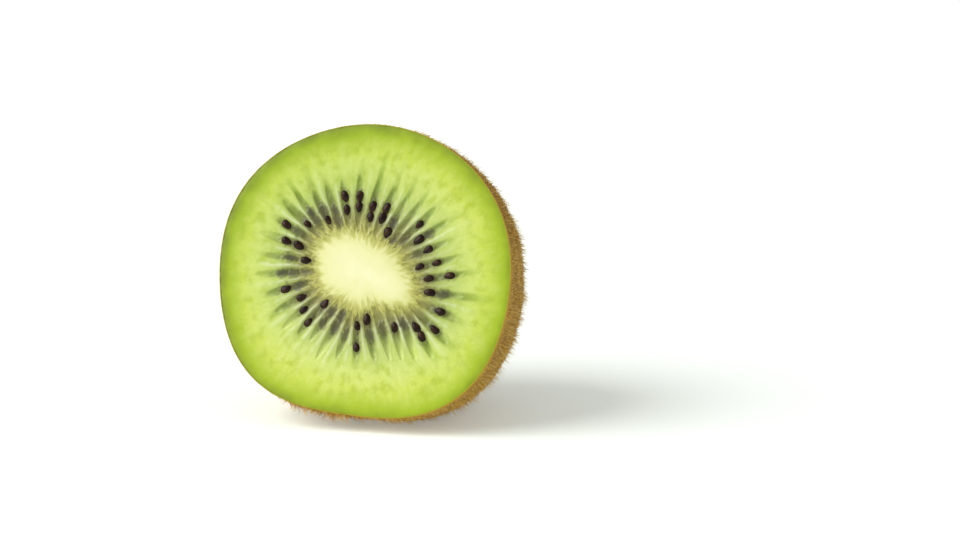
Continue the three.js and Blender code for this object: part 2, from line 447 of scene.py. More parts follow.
def wall_pattern(spoke, radius, beyond, sway):
    """The pale walls that part one locule from the next, some of them brighter than others."""
    draw = draws_from(WALL_DRAW)
    wall = np.zeros_like(radius)
    turns = [cell["spoke"] for cell in LOCULES]
    half_width = WALL_HALF_WIDTH + WALL_WIDENS * np.maximum(beyond - WALL_WIDENS_FROM, 0)
    fade_in, fade_out = WALL_FADES
    for here, after in zip(turns, turns[1:] + [turns[0] + 2 * pi]):
        middle = (here + after) / 2
        bright = draw(*WALL_BRIGHTNESS)
        reach = draw(*WALL_REACH)
        begin = draw(*WALL_BEGINS)
        aside = wrapped(spoke - middle) * radius + sway
        line = bright * np.exp(-(aside / half_width) ** 2)
        ends = (smooth(begin, begin + fade_in, beyond)
                * (1 - smooth(reach - fade_out, reach, beyond)))
        wall = np.maximum(wall, line * ends)
    return wall


def cut_face_pattern(angle, radius):
    """What lies at each place of the cut face, as arrays named for it."""
    spoke = spoke_through(angle, radius)
    beyond = radius - core_edge(angle)
    sway = rough(on_drum(spoke, radius, SWAY_SIZE), STREAK_SWAY)
    patchy = rough(on_drum(spoke, radius, PATCH_SIZE))
    hollow, stain = locule_pattern(spoke, radius, beyond, sway)
    wall = wall_pattern(spoke, radius, beyond, sway)
    draw = draws_from(COVERED_SEED_DRAW)
    ragged = rough(on_drum(spoke, radius, SEED_EDGE_SIZE), SEED_EDGE_RAGGED)
    covered = np.zeros_like(radius)
    nest = np.zeros_like(radius)
    for seed in SEEDS:
        apart = in_seed(seed, angle, radius) + ragged
        if not seed["bare"]:
            strength = draw(*COVERED_SEED_STRENGTH)
            covered = np.maximum(covered, strength * (1 - smooth(*COVERED_SEED_FADES, apart)))
        nest = np.maximum(nest, 1 - smooth(*NEST_FADES, apart))
    return {
        "spoke": spoke,
        "beyond": beyond,
        "to_skin": flesh_edge(angle) - radius,
        "hollow": hollow * (1 - NEST_FILLED * nest),
        "stain": stain * np.clip(STREAK_MEAN + STREAK_PATCHY * patchy, 0, 1),
        "wall": wall * (1 - covered) * np.clip(WALL_MEAN - WALL_PATCHY * patchy, 0, 1),
        "covered_seed": covered,
        "nest": nest,
    }


def painted_shade_at(angle):
    """How much painted shade darkens and greens the flesh in this direction, where 1 is the most.
    """
    return sum(less * np.exp(-(wrapped(angle - radians(towards)) / radians(around)) ** 2)
               for towards, around, less in PAINTED_SHADE_PLACES)


def ground_share(angle, share):
    """Where the ground colour of a place is read, from the core's edge, 0, to the skin, 1. It is
    read further in where the green band under the skin is narrow."""
    narrow = 0.5 - 0.5 * np.cos(angle - GREEN_BAND_TOWARDS)
    return share - GREEN_BAND_NARROWER * narrow * smooth(*GREEN_BAND_FROM, share)


# ---------------------------------------------------------------- making pieces

def mesh_of(bm, name):
    """Turns a bmesh into a mesh."""
    mesh = bpy.data.meshes.new(name)
    bm.to_mesh(mesh)
    bm.free()
    return mesh


def in_scene(name, data):
    """Puts a new object in the scene, at the origin."""
    made = bpy.data.objects.new(name, data)
    bpy.context.scene.collection.objects.link(made)
    return made


def spun(profile, steps):
    """A profile of (radius, depth) turned full circle, from a grid whose rows follow it.
    Returns the mesh, each vertex's row in the profile and its angle."""
    bm = bmesh.new()
    last_row = len(profile) - 1
    bmesh.ops.create_grid(bm, x_segments=steps, y_segments=last_row, size=1)
    row_layer = bm.verts.layers.int.new("row")
    for vertex in bm.verts:
        row = round((vertex.co.y + 1) / 2 * last_row)
        angle = vertex.co.x * pi
        radius, depth = profile[row]
        vertex[row_layer] = row
        vertex.co = (radius * cos(angle), radius * sin(angle), depth)
    bmesh.ops.remove_doubles(bm, verts=bm.verts, dist=SAME_PLACE)
    mesh = mesh_of(bm, "spun")
    rows = np.zeros(len(mesh.vertices), np.int32)
    mesh.attributes["row"].data.foreach_get("value", rows)
    mesh.attributes.remove(mesh.attributes["row"])
    corners = corners_of(mesh)
    return mesh, rows, np.arctan2(corners[:, 1], corners[:, 0])


def corners_of(mesh):
    """A mesh's vertices as rows of numbers."""
    corners = np.zeros(len(mesh.vertices) * 3, np.float32)
    mesh.vertices.foreach_get("co", corners)
    return corners.reshape(-1, 3).astype(float)


def shaped(mesh, points):
    """Moves a mesh's vertices to these points and turns its faces outwards."""
    mesh.vertices.foreach_set("co", points.astype(np.float32).ravel())
    bm = bmesh.new()
    bm.from_mesh(mesh)
    bmesh.ops.recalc_face_normals(bm, faces=bm.faces)
    bm.to_mesh(mesh)
    bm.free()
    mesh.update()


def add_piece(name, mesh, material, smooth_faces=True):
    """Makes a mesh a piece of the fruit."""
    mesh.name = name
    piece = in_scene(name, mesh)
    mesh.materials.clear()
    mesh.materials.append(material)
    mesh.polygons.foreach_set("use_smooth", [smooth_faces] * len(mesh.polygons))
    if smooth_faces:
        mesh.set_sharp_from_angle(angle=SHARP_FROM)
    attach(piece, "root")
    return piece


def add_values(mesh, name, values):
    """Stores one number, or one vector, for each vertex, for the materials to read."""
    kind = "FLOAT" if values.ndim == 1 else "FLOAT_VECTOR"
    attribute = mesh.attributes.new(name, kind, "POINT")
    field = "value" if values.ndim == 1 else "vector"
    attribute.data.foreach_set(field, values.astype(np.float32).ravel())


# ---------------------------------------------------------------- materials

def linear(hex_colour):
    """An sRGB colour such as C8DC50 as the linear colour that Blender takes."""
    shares = [int(hex_colour[i:i + 2], 16) / 255 for i in (0, 2, 4)]
    return (*(s / 12.92 if s <= 0.04045 else ((s + 0.055) / 1.055) ** 2.4 for s in shares), 1)


def in_use(sockets, name=None):
    """A node's first socket that its settings leave in use, of this name where one is given."""
    return next(s for s in sockets if s.enabled and name in (None, s.name))


def add_node(tree, kind, inputs=None, stops=None, **settings):
    """Adds a node with its settings, its inputs by name or number, and a ramp's stops. An input
    takes a value, a hex colour, a socket, or a node, whose first output it then follows."""
    made = tree.nodes.new(kind)
    for name, value in settings.items():
        setattr(made, name, value)
    for name, value in (inputs or {}).items():
        socket = made.inputs[name] if isinstance(name, int) else in_use(made.inputs, name)
        if isinstance(value, bpy.types.Node):
            value = in_use(value.outputs)
        if isinstance(value, bpy.types.NodeSocket):
            tree.links.new(value, socket)
        elif socket.type == "RGBA":
            socket.default_value = linear(value)
        else:
            socket.default_value = value
    if stops:
        ramp = made.color_ramp
        while len(ramp.elements) < len(stops):
            ramp.elements.new(0.5)
        for element, (place, colour) in zip(ramp.elements, stops):
            element.position = place
            element.color = linear(colour)
    return made


def new_material(name):
    """An empty material and its tree."""
    material = bpy.data.materials.new(name)
    material.use_nodes = True
    material.node_tree.nodes.clear()
    return material, material.node_tree


# The colours from this far inside the core's edge to this far outside, in millimetres.
CORE_EDGE_SPAN = (-6, 4)
CORE_EDGE_COLOURS = [
    (-6, "EAE8B9"), (-2, "E4E2A8"), (-0.7, "DBDA96"), (0.2, "C4C373"), (1.2, "B2B15E"),
    (4, "9C9C5A"),
]
# The ground colour from the core's edge, 0, to the skin, 1.
GROUND_COLOURS = [
    (0, "9C9C58"), (0.25, "9CA258"), (0.45, "B4C46C"), (0.62, "C8D570"), (0.76, "C4D252"),
    (0.9, "A2B824"), (1, "7E8E1E"),
]
# The dark streak of a locule and the pale walls beside it, by the distance outside the core's
# edge.
LOCULE_SPAN = (1, 13)
LOCULE_COLOURS = [
    (1, "9C9A58"), (4, "62603A"), (6, "565A30"), (8, "5E6C28"), (10, "728828"), (13, "90AC2E"),
]
WALL_COLOURS = [(1, "C0BE8C"), (4, "CACDAC"), (7, "D3DDAE"), (11, "D0DC94"), (13, "CAD67E")]
# How many broad patches and fine specks there are to a cell, and fine striae to a tooth of the
# core's edge, along a line.
PATCHES_TO_CELL = 0.45
SPECKS_TO_CELL = 3.2
STRIAE_TO_TOOTH = 2.6


def ramp_stops(span, colours):
    """Colours at distances in millimetres as the stops of a ramp over this span."""
    low, high = span
    return [((place - low) / (high - low), colour) for place, colour in colours]


def core_edge_colour(tree):
    """Cream inside the core's edge and olive outside, with fine teeth along the edge."""
    from_edge = add_node(tree, "ShaderNodeAttribute", attribute_name="beyond")
    teeth_at = add_node(tree, "ShaderNodeAttribute", attribute_name="teeth")
    teeth = add_node(tree, "ShaderNodeTexNoise", {
        "Vector": teeth_at.outputs["Vector"], "Scale": 1.0, "Detail": 1.0})
    at_edge = add_node(tree, "ShaderNodeMapRange", {
        "Value": from_edge, "From Min": -2.2, "From Max": 0.0, "To Max": 0.9})
    tooth = add_node(tree, "ShaderNodeMapRange", {
        "Value": teeth.outputs["Fac"], "From Min": 0.3, "From Max": 0.7,
        "To Min": -1.0, "To Max": 1.0})
    astray = add_node(tree, "ShaderNodeMath", {0: tooth, 1: at_edge}, operation="MULTIPLY")
    moved = add_node(tree, "ShaderNodeMath", {0: from_edge, 1: astray}, operation="ADD")
    share = add_node(tree, "ShaderNodeMapRange", {
        "Value": moved, "From Min": CORE_EDGE_SPAN[0], "From Max": CORE_EDGE_SPAN[1]})
    return add_node(tree, "ShaderNodeValToRGB", {"Fac": share},
                    stops=ramp_stops(CORE_EDGE_SPAN, CORE_EDGE_COLOURS))


def mottled_green(tree, strands):
    """The green of the flesh, in bands from the core to the skin, with greener cells, pale
    strands and fine pale specks in it."""
    across = add_node(tree, "ShaderNodeAttribute", attribute_name="across")
    cells_at = add_node(tree, "ShaderNodeAttribute", attribute_name="cells").outputs["Vector"]

    # The bands are moved in and out a little by broad patches.
    patches = add_node(tree, "ShaderNodeTexNoise", {
        "Vector": cells_at, "Scale": PATCHES_TO_CELL, "Detail": 2.0})
    drift = add_node(tree, "ShaderNodeMapRange", {
        "Value": patches.outputs["Fac"], "From Min": 0.3, "From Max": 0.7,
        "To Min": -0.03, "To Max": 0.03})
    drifted = add_node(tree, "ShaderNodeMath", {0: across, 1: drift}, operation="ADD")
    body = add_node(tree, "ShaderNodeValToRGB", {"Fac": drifted}, stops=GROUND_COLOURS)

    # Everything in it begins outside the ring of seeds. The cells reach the skin, and the
    # strands and specks end before it.
    outside = add_node(tree, "ShaderNodeMapRange", {
        "Value": across, "From Min": 0.3, "From Max": 0.55})
    inside_skin = add_node(tree, "ShaderNodeMapRange", {
        "Value": across, "From Min": 0.99, "From Max": 0.82})
    before_band = add_node(tree, "ShaderNodeMapRange", {
        "Value": across, "From Min": 0.92, "From Max": 0.7})
    cells_there = add_node(tree, "ShaderNodeMath", {0: outside, 1: inside_skin},
                           operation="MULTIPLY")
    strands_there = add_node(tree, "ShaderNodeMath", {0: outside, 1: before_band},
                             operation="MULTIPLY")
    cells = add_node(tree, "ShaderNodeTexNoise", {
        "Vector": cells_at, "Scale": 1.0, "Detail": 0.5})
    green_cell = add_node(tree, "ShaderNodeMapRange", {
        "Value": cells.outputs["Fac"], "From Min": 0.52, "From Max": 0.28, "To Max": 0.6})
    pale_strand = add_node(tree, "ShaderNodeMapRange", {
        "Value": strands.outputs["Fac"], "From Min": 0.42, "From Max": 0.8, "To Max": 0.6})
    specks = add_node(tree, "ShaderNodeTexNoise", {
        "Vector": cells_at, "Scale": SPECKS_TO_CELL, "Detail": 1.0})
    pale_speck = add_node(tree, "ShaderNodeMapRange", {
        "Value": specks.outputs["Fac"], "From Min": 0.5, "From Max": 0.75, "To Max": 0.3})
    for mark, there, colour in (
            (green_cell, cells_there, "A6B82E"),
            (pale_strand, strands_there, "D4DD84"),
            (pale_speck, strands_there, "DCE68C")):
        share = add_node(tree, "ShaderNodeMath", {0: mark, 1: there}, operation="MULTIPLY")
        body = add_node(tree, "ShaderNodeMix", {
            "Factor": share, "A": body, "B": colour}, data_type="RGBA")
    return body


def with_ring_of_seeds(tree, body, strands):
    """Lays over the green what lies between the seeds: olive with dark striae beside the core,
    dark locules, the seeds' nests, pale walls and the seeds that flesh covers."""
    beyond = add_node(tree, "ShaderNodeAttribute", attribute_name="beyond")
    near_core = add_node(tree, "ShaderNodeMapRange", {
        "Value": beyond, "From Min": 4.5, "From Max": 2.5})
    outside_core = add_node(tree, "ShaderNodeMapRange", {
        "Value": beyond, "From Min": 0.0, "From Max": 1.2, "To Max": 0.7})
    beside_core = add_node(tree, "ShaderNodeMath", {0: near_core, 1: outside_core},
                           operation="MULTIPLY")
    teeth_at = add_node(tree, "ShaderNodeAttribute", attribute_name="teeth")
    striae = add_node(tree, "ShaderNodeTexNoise", {
        "Vector": teeth_at.outputs["Vector"], "Scale": STRIAE_TO_TOOTH, "Detail": 1.0})
    stria = add_node(tree, "ShaderNodeMapRange", {
        "Value": striae.outputs["Fac"], "From Min": 0.45, "From Max": 0.65})
    stria_share = add_node(tree, "ShaderNodeMath", {0: stria, 1: beside_core},
                           operation="MULTIPLY")

    along_locule = add_node(tree, "ShaderNodeMapRange", {
        "Value": beyond, "From Min": LOCULE_SPAN[0], "From Max": LOCULE_SPAN[1]})
    locule_colour, wall_colour = (
        add_node(tree, "ShaderNodeValToRGB", {"Fac": along_locule},
                 stops=ramp_stops(LOCULE_SPAN, colours))
        for colours in (LOCULE_COLOURS, WALL_COLOURS))
    stain, nest, wall, covered_seed = (
        add_node(tree, "ShaderNodeAttribute", attribute_name=name)
        for name in ("stain", "nest", "wall", "covered_seed"))
    uneven = add_node(tree, "ShaderNodeMapRange", {
        "Value": strands.outputs["Fac"], "From Min": 0.3, "From Max": 0.7,
        "To Min": 1.0, "To Max": 0.7})
    stained = add_node(tree, "ShaderNodeMath", {0: stain, 1: uneven}, operation="MULTIPLY")

    for share, colour in (
            (near_core, core_edge_colour(tree)), (stria_share, "77702E"),
            (stained, locule_colour), (nest, "454120"), (wall, wall_colour),
            (covered_seed, "3C3830")):
        body = add_node(tree, "ShaderNodeMix", {
            "Factor": share, "A": body, "B": colour}, data_type="RGBA")
    return body


def flesh_material():
    """Wet cut kiwi flesh: bright translucent green, mottled with pale strands and greener
    cells of a millimetre or so, dark in the locules and under the skin, glossy with juice."""
    material, tree = new_material("cut_kiwi_flesh")
    strands_at = add_node(tree, "ShaderNodeAttribute", attribute_name="strands")
    strands = add_node(tree, "ShaderNodeTexNoise", {
        "Vector": strands_at.outputs["Vector"], "Scale": 1.0, "Detail": 2.0})
    body = mottled_green(tree, strands)

    # Painted shade: towards the upper left and lower right the flesh is drawn a darker, deeper
    # green.
    painted_shade = add_node(tree, "ShaderNodeAttribute", attribute_name="painted_shade")
    body = add_node(tree, "ShaderNodeMix", {
        "Factor": painted_shade, "A": body, "B": "EDF3DE"}, data_type="RGBA", blend_type="MULTIPLY")

    body = with_ring_of_seeds(tree, body, strands)
    bump = add_node(tree, "ShaderNodeBump", {
        "Height": strands.outputs["Fac"], "Strength": 0.15, "Distance": 0.12 * MM})
    shader = add_node(tree, "ShaderNodeBsdfPrincipled", {
        "Base Color": body, "Roughness": 0.36, "IOR": 1.36, "Normal": bump})
    add_node(tree, "ShaderNodeOutputMaterial", {"Surface": shader})
    return material


def core_material():
    """The dense moist core: smooth cream, yellower towards its edge, faintly clouded."""
    material, tree = new_material("kiwi_core")
    place = add_node(tree, "ShaderNodeTexCoord").outputs["Object"]
    clouds = add_node(tree, "ShaderNodeTexNoise", {
        "Vector": place, "Scale": 1 / (1.8 * MM), "Detail": 2.0})
    faint = add_node(tree, "ShaderNodeMapRange", {
        "Value": clouds.outputs["Fac"], "From Min": 0.4, "From Max": 0.75, "To Max": 0.2})
    body = add_node(tree, "ShaderNodeMix", {
        "Factor": faint, "A": core_edge_colour(tree), "B": "DEDB98"}, data_type="RGBA")
    grain = add_node(tree, "ShaderNodeTexNoise", {
        "Vector": place, "Scale": 1 / (0.4 * MM), "Detail": 2.0})
    bump = add_node(tree, "ShaderNodeBump", {
        "Height": grain.outputs["Fac"], "Strength": 0.15, "Distance": 0.05 * MM})
    shader = add_node(tree, "ShaderNodeBsdfPrincipled", {
        "Base Color": body, "Roughness": 0.4, "IOR": 1.36, "Normal": bump})
    add_node(tree, "ShaderNodeOutputMaterial", {"Surface": shader})
    return material


def skin_material():
    """Thin leathery kiwi skin: matt golden brown, mottled and finely wrinkled, with the flesh's
    green in its cut edge."""
    material, tree = new_material("kiwi_skin")
    place = add_node(tree, "ShaderNodeTexCoord").outputs["Object"]
    mottle = add_node(tree, "ShaderNodeTexNoise", {
        "Vector": place, "Scale": 1 / (5 * MM), "Detail": 5.0, "Roughness": 0.65})
    ground = add_node(tree, "ShaderNodeValToRGB", {"Fac": mottle.outputs["Fac"]}, stops=[
        (0.3, "7F5F26"), (0.5, "A68238"), (0.7, "C29E4A")])
    grain = add_node(tree, "ShaderNodeTexNoise", {
        "Vector": place, "Scale": 1 / (0.5 * MM), "Detail": 4.0, "Roughness": 0.7})
    speck = add_node(tree, "ShaderNodeMapRange", {
        "Value": grain.outputs["Fac"], "From Min": 0.55, "From Max": 0.7, "To Max": 0.6})
    body = add_node(tree, "ShaderNodeMix", {
        "Factor": speck, "A": ground, "B": "6A4F26"}, data_type="RGBA")
    behind_cut = add_node(tree, "ShaderNodeAttribute", attribute_name="behind_cut")
    near_cut = add_node(tree, "ShaderNodeMapRange", {
        "Value": behind_cut, "From Min": 2.0, "From Max": 0.0, "To Max": 0.9})
    edge_colour = add_node(tree, "ShaderNodeValToRGB", {"Fac": near_cut}, stops=[
        (0.3, "CA9030"), (0.6, "C4922C"), (0.88, "A49A2C")])
    body = add_node(tree, "ShaderNodeMix", {
        "Factor": near_cut, "A": body, "B": edge_colour}, data_type="RGBA")
    bump = add_node(tree, "ShaderNodeBump", {
        "Height": grain.outputs["Fac"], "Strength": 0.6, "Distance": 0.15 * MM})
    shader = add_node(tree, "ShaderNodeBsdfPrincipled", {
        "Base Color": body, "Roughness": 0.72, "Specular IOR Level": 0.12, "Normal": bump})
    add_node(tree, "ShaderNodeOutputMaterial", {"Surface": shader})
    return material


def hair_material():
    """Dry stiff hairs: from dark to golden brown, each hair of one tone."""
    material, tree = new_material("kiwi_hair")
    tone = add_node(tree, "ShaderNodeAttribute", attribute_name="tone")
    ground = add_node(tree, "ShaderNodeValToRGB", {"Fac": tone}, stops=[
        (0.0, "8E6628"), (0.35, "BE903A"), (0.7, "E2B656"), (1.0, "F2D68E")])
    shader = add_node(tree, "ShaderNodeBsdfPrincipled", {
        "Base Color": ground, "Roughness": 0.7, "Specular IOR Level": 0.1})
    add_node(tree, "ShaderNodeOutputMaterial", {"Surface": shader})
    return material


def seed_material():
    """Hard kiwi seeds: near-black brown, paler in patches, pitted finely, wet with juice."""
    material, tree = new_material("kiwi_seed")
    place = add_node(tree, "ShaderNodeTexCoord").outputs["Object"]
    patches = add_node(tree, "ShaderNodeTexNoise", {
        "Vector": place, "Scale": 1 / (1.0 * MM), "Detail": 3.0})
    ground = add_node(tree, "ShaderNodeValToRGB", {"Fac": patches.outputs["Fac"]}, stops=[
        (0.35, "1A0D08"), (0.55, "2B170E"), (0.75, "47301C")])
    pits = add_node(tree, "ShaderNodeTexVoronoi", {
        "Vector": place, "Scale": 1 / (0.16 * MM)})
    bump = add_node(tree, "ShaderNodeBump", {
        "Height": pits.outputs["Distance"], "Strength": 0.3, "Distance": 0.03 * MM})
    shader = add_node(tree, "ShaderNodeBsdfPrincipled", {
        "Base Color": ground, "Roughness": 0.3, "Specular IOR Level": 0.15, "Normal": bump})
    add_node(tree, "ShaderNodeOutputMaterial", {"Surface": shader})
    return material


def scar_material():
    """The dry woody scar of the stalk: dark grey-brown and cracked."""
    material, tree = new_material("woody_scar")
    place = add_node(tree, "ShaderNodeTexCoord").outputs["Object"]
    cracks = add_node(tree, "ShaderNodeTexNoise", {
        "Vector": place, "Scale": 1 / (0.6 * MM), "Detail": 4.0, "Roughness": 0.7})
    ground = add_node(tree, "ShaderNodeValToRGB", {"Fac": cracks.outputs["Fac"]}, stops=[
        (0.35, "2E2012"), (0.55, "5C4426"), (0.75, "86683E")])
    bump = add_node(tree, "ShaderNodeBump", {
        "Height": cracks.outputs["Fac"], "Strength": 0.8, "Distance": 0.2 * MM})
    shader = add_node(tree, "ShaderNodeBsdfPrincipled", {
        "Base Color": ground, "Roughness": 0.85, "Normal": bump})
    add_node(tree, "ShaderNodeOutputMaterial", {"Surface": shader})
    return material


# ---------------------------------------------------------------- the pieces

def add_patterns(mesh, angle, spoke, radius):
    """Stores where the cut's patterns are read, alike for the flesh and the core."""
    add_values(mesh, "cells", on_drum(angle, radius, CELL_SIZE))
    add_values(mesh, "strands", on_drum(spoke, radius, STRAND_SIZE))
    add_values(mesh, "teeth", on_drum(angle, radius, TOOTH_SIZE))


def make_flesh(material):
    """The flesh: the pocket of the core, the cut face with its relief, and the side that the
    skin covers. Replaces the solid that it fills."""
    side = outline(SIDE_ROWS, SIDE_DIMPLE_ROWS, SKIN_THICKNESS)
    downs = np.cos(np.linspace(0, pi / 2, POCKET_ROWS, endpoint=False))
    pocket = [(CORE_RADIUS * np.sqrt(1 - down ** 2), CORE_DEPTH * down) for down in downs]
    shares = np.concatenate([np.linspace(0, LOCULE_ROWS_TO, LOCULE_ROWS, endpoint=False),
                             np.linspace(LOCULE_ROWS_TO, 1, OUTER_ROWS)])
    reach = side[0][0] - CORE_RADIUS
    face = [(CORE_RADIUS + share * reach, 0) for share in shares]
    profile = np.array([*pocket, *face, *side[1:]])
    mesh, rows, angle = spun(profile, ROUND_THE_FLESH)

    in_pocket = rows < len(pocket)
    on_side = rows >= len(pocket) + len(face)
    on_face = ~in_pocket & ~on_side
    share = np.where(on_side, 1.0, 0.0)
    share[on_face] = shares[rows[on_face] - len(pocket)]
    flat_radius, depth = profile[rows].T
    radius = flat_radius * np.where(in_pocket, swell(CORE_LOBES, angle), skin_swell(angle, depth))
    edge = core_edge(angle)
    radius = np.where(on_face, edge + share * (flesh_edge(angle) - edge), radius)

    pattern = cut_face_pattern(angle, radius)
    strands = rough(on_drum(pattern["spoke"], radius, STRAND_SIZE), STRAND_RELIEF)
    relief = (LOCULE_SUNK * pattern["hollow"] - WALL_RAISED * pattern["wall"] + strands
              + RIM_SUNK * smooth(RIM_WIDTH, 0, pattern["to_skin"]))
    points = placed(angle, radius, depth + np.where(on_face, relief, 0))
    points[on_side, 2] = np.maximum(points[on_side, 2], SKIN_THICKNESS * MM)

    shaped(mesh, points)
    add_patterns(mesh, angle, pattern["spoke"], radius)
    add_values(mesh, "across", ground_share(angle, share))
    add_values(mesh, "beyond", np.where(in_pocket, 0, pattern["beyond"]))
    # Painted shade: how much darker and greener the flesh is drawn in each direction.
    add_values(mesh, "painted_shade", painted_shade_at(angle))
    for name, strength in (("stain", 1), ("nest", NEST_STRENGTH), ("wall", WALL_STRENGTH),
                           ("covered_seed", 1)):
        add_values(mesh, name, np.where(on_face, strength * pattern[name], 0))
    piece = add_piece("flesh", mesh, material)
    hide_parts("flesh_in_skin")


def make_core(material):
    """The core: a slightly domed top in the cut, and the column behind it."""
    tops = np.linspace(0, 1, CORE_TOP_ROWS)
    downs = np.sin(np.linspace(0, pi / 2, CORE_SIDE_ROWS))[1:]
    profile = np.array([*((CORE_RADIUS * share, 0) for share in tops),
                        *((CORE_RADIUS * np.sqrt(1 - down ** 2), CORE_DEPTH * down)
                          for down in downs)])
    profile[-1][0] = 0
    mesh, rows, angle = spun(profile, ROUND_THE_SKIN)
    share = np.where(rows < CORE_TOP_ROWS, tops[np.minimum(rows, CORE_TOP_ROWS - 1)], 1)
    radius, depth = profile[rows].T
    radius = radius * swell(CORE_LOBES, angle)
    places = placed(angle, radius, depth) / MM
    dome = CORE_DOME * (1 - share ** 4) + rough(places, *CORE_RELIEF)
    depth = depth - np.where(rows < CORE_TOP_ROWS - 1, dome, 0)
    shaped(mesh, placed(angle, radius, depth))
    add_patterns(mesh, angle, angle, radius)
    add_values(mesh, "beyond", np.where(rows < CORE_TOP_ROWS, radius - core_edge(angle), 0))
    piece = add_piece("core_flesh", mesh, material)
    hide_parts("core")


def fringe_at(angle, depth):
    """How far a place lies in the fringe of hairs under the lower cut edge, from 0 to 1."""
    pressed = np.exp(-(wrapped(angle - PRESSED_TOWARDS) / PRESSED_WITHIN) ** 2)
    underside = smooth(*FRINGE_UNDERSIDE, -np.sin(angle))
    return (1 - smooth(*FRINGE_THINS, depth)) * underside * (1 - PRESSED_FLAT * pressed)


def make_skin(material):
    """The skin: a thin shell from its cut edge to the stem's dimple, which also carries where
    its hairs grow and how they lie."""
    outer = outline(SKIN_ROWS, DIMPLE_ROWS)
    inner = outline(SIDE_ROWS, SIDE_DIMPLE_ROWS, SKIN_THICKNESS)
    inner[-1][0] = 0
    profile = np.array([*inner[::-1], *outer])
    mesh, rows, angle = spun(profile, ROUND_THE_SKIN)
    radius, depth = profile[rows].T
    radius = radius * skin_swell(angle, depth)
    is_outer = rows >= len(inner)
    at_cut = depth < SAME_PLACE
    places = placed(angle, radius, depth) / MM
    behind = smooth(*SKIN_RELIEF_FROM, depth)
    relief = behind * sum(rough(places, *layer) for layer in SKIN_RELIEF)
    ragged = (1 - behind) * rough(places, *CUT_EDGE_RELIEF)
    radius = radius + np.where(is_outer, relief, 0)
    depth = depth + np.where(at_cut, ragged, 0)
    points = placed(angle, radius, depth)
    points[:, 2] = np.maximum(points[:, 2], np.where(is_outer, 0, SKIN_THICKNESS * MM))
    shaped(mesh, points)

    hairy = np.where(is_outer, smooth(*HAIRS_FROM_SCAR, radius), 0)
    hairy *= smooth(*HAIRS_FROM_TABLE, points[:, 2] / MM)
    tufts = smooth(*TUFT_EDGE, rough(places, *TUFTS))
    fringe = fringe_at(angle, depth)
    short_hairs = smooth(*SHORT_HAIRS_FROM_CUT, depth)
    long_hairs = np.maximum(smooth(*LONG_HAIRS_FROM_CUT, depth),
                            FRINGE_THICKNESS * fringe * smooth(*FRINGE_FROM, depth))
    covered = BETWEEN_TUFTS + (1 - BETWEEN_TUFTS) * tufts
    add_values(mesh, "short_hairs", hairy * short_hairs * covered)
    add_values(mesh, "long_hairs", hairy * long_hairs * tufts)
    add_values(mesh, "lie_down", 1 - FRINGE_FORWARDS * fringe)
    add_values(mesh, "behind_cut", depth)
    return add_piece("skin", mesh, material)


def make_seeds(material):
    """The bare seeds, each an egg with its point towards the core."""
    bm = bmesh.new()
    for number, seed in enumerate(s for s in SEEDS if s["bare"]):
        made = bmesh.ops.create_uvsphere(
            bm, u_segments=SEED_SEGMENTS, v_segments=SEED_BANDS, radius=1)["verts"]
        bmesh.ops.rotate(bm, verts=made, cent=(0, 0, 0), matrix=Matrix.Rotation(pi / 2, 3, "Y"))
        turn = seed["turn"]
        own_lumps = Vector((SEED_LUMPS_APART * number, 0, 0))
        for vertex in made:
            lumps = noise.noise(vertex.co + own_lumps)
            pointed = 1 + SEED_POINTED * vertex.co.x + SEED_UNEVEN * lumps
            along = vertex.co.x * SEED_HALF_LENGTH * seed["size"]
            across = vertex.co.y * SEED_HALF_WIDTH * seed["size"] * pointed
            x = seed["radius"] * cos(seed["angle"]) + along * cos(turn) - across * sin(turn)
            y = seed["radius"] * sin(seed["angle"]) + along * sin(turn) + across * cos(turn)
            depth = seed["sunk"] - vertex.co.z * SEED_HALF_THICKNESS * pointed
            vertex.co = CUT_CENTRE + MM * (x * RIGHT + y * UP + depth * INTO)
    bmesh.ops.recalc_face_normals(bm, faces=bm.faces)
    add_piece("seeds", mesh_of(bm, "seeds"), material)


def make_scar(material):
    """The woody scar where the stalk was, in the dimple of the closed end."""
    rim = end_depth(SCAR_RADIUS)
    profile = np.array([(share * SCAR_RADIUS, rim + height) for share, height in SCAR_PROFILE])
    mesh, rows, angle = spun(profile, ROUND_THE_SCAR)
    radius, depth = profile[rows].T
    places = placed(angle, radius, depth) / MM
    radius = radius + rough(places, *SCAR_RELIEF_SIDEWAYS)
    depth = depth + rough(places, *SCAR_RELIEF_OUTWARDS)
    shaped(mesh, placed(angle, radius, depth))
    add_piece("stem_scar", mesh, material)


def hair_mesh(name, length, half_width, bend, joints):
    """One hair that stands on its root: a three-sided spike, bent over towards +X."""
    bm = bmesh.new()
    bmesh.ops.create_cone(bm, cap_ends=True, segments=3, radius1=half_width, radius2=0,
                          depth=length)
    bmesh.ops.translate(bm, verts=bm.verts, vec=(0, 0, length / 2))
    if joints:
        long_edges = [e for e in bm.edges if e.calc_length() > length / 2]
        bmesh.ops.subdivide_edges(bm, edges=long_edges, cuts=joints)
    for vertex in bm.verts:
        vertex.co.x += bend * (vertex.co.z / length) ** 2 * length
    bmesh.ops.recalc_face_normals(bm, faces=bm.faces)
    return mesh_of(bm, name)


